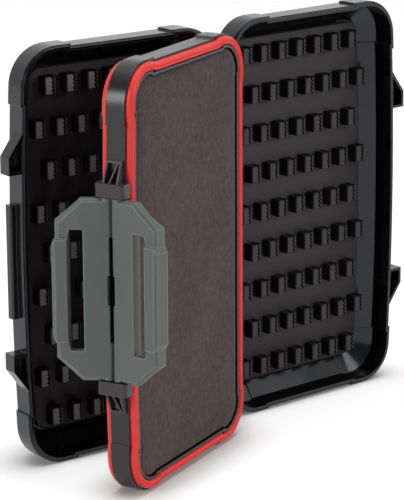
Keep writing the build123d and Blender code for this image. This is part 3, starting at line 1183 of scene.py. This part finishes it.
@dataclass
class MouldedPieces:
    """The rigid pieces that keep their CAD shape and get their finishes here."""

    nodes: dict[str, bpy.types.Object]
    shell: MouldedPlastic
    leaf: MouldedPlastic
    bracket: MouldedPlastic
    wing: MouldedPlastic
    hinge_steel: DrawnSteel
    latch_steel: DrawnSteel

    def _dress(self, material: bpy.types.Material, *names: str) -> None:
        """Give CAD nodes a finish through their material slots.

        Args:
            material: The finish.
            names: Names of the nodes.
        """
        for name in names:
            for slot in self.nodes[name].material_slots:
                slot.material = material
            LOG.info("%s: %s", name, material.name)

    def build(self) -> None:
        """Dress the shells, the leaf, the latch and the pins."""
        self._dress(self.shell.build(), "left_shell", "right_shell")
        self._dress(self.leaf.build(), "leaf_frame", "leaf_panel")
        self._dress(self.bracket.build(), "latch_bracket_upper", "latch_bracket_lower")
        self._dress(self.wing.build(), "latch_wing_left", "latch_wing_right")
        self._dress(self.hinge_steel.build(), "hinge_pin_upper", "hinge_pin_lower")
        self._dress(self.latch_steel.build(), "latch_pin_left", "latch_pin_right")


@dataclass
class SoftLamp:
    """One large soft lamp."""

    name: str
    place: tuple[float, float, float]
    aim: tuple[float, float, float]
    size: float
    power: float

    def build(self) -> bpy.types.Object:
        """Make the lamp and point it at its aim.

        Returns:
            The lamp.
        """
        data = bpy.data.lights.new(self.name, "AREA")
        data.shape = "DISK"
        data.size = self.size
        data.energy = self.power
        lamp = bpy.data.objects.new(self.name, data)
        lamp.location = self.place
        way = Vector(self.aim) - Vector(self.place)
        lamp.rotation_euler = way.to_track_quat("-Z", "Y").to_euler()
        bpy.context.scene.collection.objects.link(lamp)
        return lamp


@dataclass
class Studio:
    """Floor, soft light, white surroundings and the photograph's camera."""

    camera_place: tuple[float, float, float] = (-0.66565, -0.84795, 0.3807)
    camera_heading: float = 53.177
    camera_pitch: float = 15.068
    camera_roll: float = 0.34
    lens: float = 219.5
    floor_half: float = 7.0
    ambient: float = 0.2
    dark_side: float = 0.16
    bright_side: float = 1.0

    def _floor(self) -> None:
        """A wide floor of white paper with a gently rounded far edge."""
        half = self.floor_half
        work = bmesh.new()
        corners = []
        for index in range(48):
            angle = 2 * math.pi * index / 48
            corners.append(work.verts.new((half * math.cos(angle), half * math.sin(angle), 0.0)))
        work.faces.new(corners)
        mesh = bpy.data.meshes.new("paper_floor")
        work.to_mesh(mesh)
        work.free()
        mesh.materials.append(StudioFloor().build())
        new_object("paper_floor", mesh)

    def _world(self) -> None:
        """White surroundings: a bright backdrop behind the box and a dim room in front of it."""
        world = bpy.data.worlds.new("white_room")
        world.use_nodes = True
        world.node_tree.nodes.clear()
        nodes = Nodes(world.node_tree)
        path = nodes.add("ShaderNodeLightPath").outputs
        seen = nodes.math("MAXIMUM", path["Is Glossy Ray"], path["Is Transmission Ray"])
        way = nodes.add("ShaderNodeTexCoord").outputs["Generated"]
        toward = nodes.add(
            "ShaderNodeVectorMath", {0: way, 1: (0.6, 0.8, 0.15)}, operation="DOT_PRODUCT"
        ).outputs["Value"]
        mirrored = nodes.ramp(toward, -0.25, 0.55, self.dark_side, self.bright_side)
        strength = nodes.math("MULTIPLY", seen, mirrored)
        strength = nodes.math("MAXIMUM", strength, self.ambient)
        strength = nodes.math("MAXIMUM", strength, path["Is Camera Ray"])
        light = nodes.add("ShaderNodeBackground", {"Color": (1.0, 1.0, 1.0, 1.0), "Strength": strength})
        nodes.add("ShaderNodeOutputWorld", {"Surface": light.outputs[0]})
        bpy.context.scene.world = world

    def _lamps(self) -> None:
        """A large key at the right front, a softer light at the left and one above."""
        aim = (-0.02, -0.02, 0.1)
        lamps = (
            SoftLamp("key", (1.35, -1.9, 1.0), aim, 1.5, 23.0),
            SoftLamp("side", (-2.0, 0.02, 0.75), aim, 0.9, 17.0),
            SoftLamp("top", (0.05, 0.0, 2.0), aim, 1.5, 14.0),
        )
        for lamp in lamps:
            lamp.build()

    def _camera(self) -> None:
        """The camera that was fitted to the photograph."""
        pitch, roll = math.radians(self.camera_pitch), math.radians(self.camera_roll)
        heading = math.radians(self.camera_heading)
        ahead = Vector((math.cos(heading), math.sin(heading), 0.0))
        level = Vector((math.sin(heading), -math.cos(heading), 0.0))
        forward = ahead * math.cos(pitch) + Vector((0.0, 0.0, -math.sin(pitch)))
        upward = ahead * math.sin(pitch) + Vector((0.0, 0.0, math.cos(pitch)))
        right = level * math.cos(roll) - upward * math.sin(roll)
        top = level * math.sin(roll) + upward * math.cos(roll)
        turn = Matrix((right, top, -forward)).transposed().to_4x4()
        data = bpy.data.cameras.new("photo_camera")
        data.sensor_fit = "HORIZONTAL"
        data.sensor_width = 36.0
        data.lens = self.lens
        data.clip_end = 50.0
        camera = bpy.data.objects.new("photo_camera", data)
        camera.matrix_world = Matrix.Translation(self.camera_place) @ turn
        bpy.context.scene.collection.objects.link(camera)
        bpy.context.scene.camera = camera

    def build(self) -> None:
        """Set the stage round the box."""
        self._floor()
        self._world()
        self._lamps()
        self._camera()
        bpy.context.scene.view_settings.view_transform = "Standard"
        LOG.info("studio: floor, world, lamps and camera")


def hinge_axis() -> tuple[float, float]:
    """Find the hinge line from the lower hinge pin.

    Returns:
        Its X and Y in the row frame, in metres.
    """
    low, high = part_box("hinge_pin_lower")
    return (low.x + high.x) / 2, (low.y + high.y) / 2


def main() -> None:
    """Build every dressed piece in order."""
    logging.basicConfig(level=logging.INFO, format="%(name)s: %(message)s")
    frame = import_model()
    outline = LeafOutline()
    axis_x, axis_y = hinge_axis()
    leaf = HingeFrame(axis_x, axis_y, 205.23)
    shells = {
        ShellSide.RIGHT: HingeFrame(axis_x, axis_y, 3.43),
        ShellSide.LEFT: HingeFrame(axis_x, axis_y, 179.63, mirrored=True),
    }
    MouldedPieces(
        nodes=frame["nodes"],
        shell=MouldedPlastic(
            "shell_plastic",
            (0.0055, 0.0052, 0.006),
            (0.075, 0.07, 0.07),
            roughness=0.17,
            specular=0.48,
            tint=(0.88, 0.93, 1.0),
        ),
        leaf=MouldedPlastic(
            "leaf_plastic",
            (0.0115, 0.0095, 0.0112),
            (0.066, 0.058, 0.062),
            roughness=0.27,
            specular=0.5,
        ),
        bracket=MouldedPlastic("bracket_plastic", (0.032, 0.026, 0.029), (0.09, 0.078, 0.082), 0.42),
        wing=MouldedPlastic(
            "latch_plastic",
            (0.118, 0.134, 0.127),
            (0.36, 0.39, 0.37),
            roughness=0.46,
            edge_radius=1.0,
            edge_highlight_strength=1.0,
            grain=0.16,
        ),
        hinge_steel=DrawnSteel(),
        # The latch pins' dark colour is painted shade: it keeps the slot between the wings dark where
        # the pins show.
        latch_steel=DrawnSteel("slot_shade_steel", (0.05, 0.05, 0.053), 0.45),
    ).build()
    sheet_rubber = SoftRubber(
        "sheet_rubber",
        (0.033, 0.028, 0.031),
        (0.06, 0.052, 0.056),
        roughness=0.58,
        dust=0.45,
        specular=0.3,
        # Painted shade: near black for the tabs' side faces.
        shaded_side_colour=(0.004, 0.0036, 0.004),
        # Painted light: a pale grey for the lit tab crowns.
        lit_crown_colour=(0.32, 0.31, 0.32),
    )
    SlotSheets(outline, shells, sheet_rubber).build()
    seal_rubber = SoftRubber(
        "seal_rubber", (0.92, 0.04, 0.034), (0.95, 0.09, 0.07), roughness=0.42, dust=0.2
    )
    LeafSeals(outline, leaf, seal_rubber).build()
    FoamPads(outline, leaf, PadFoam()).build()
    Studio().build()


if __name__ == "__main__":
    main()
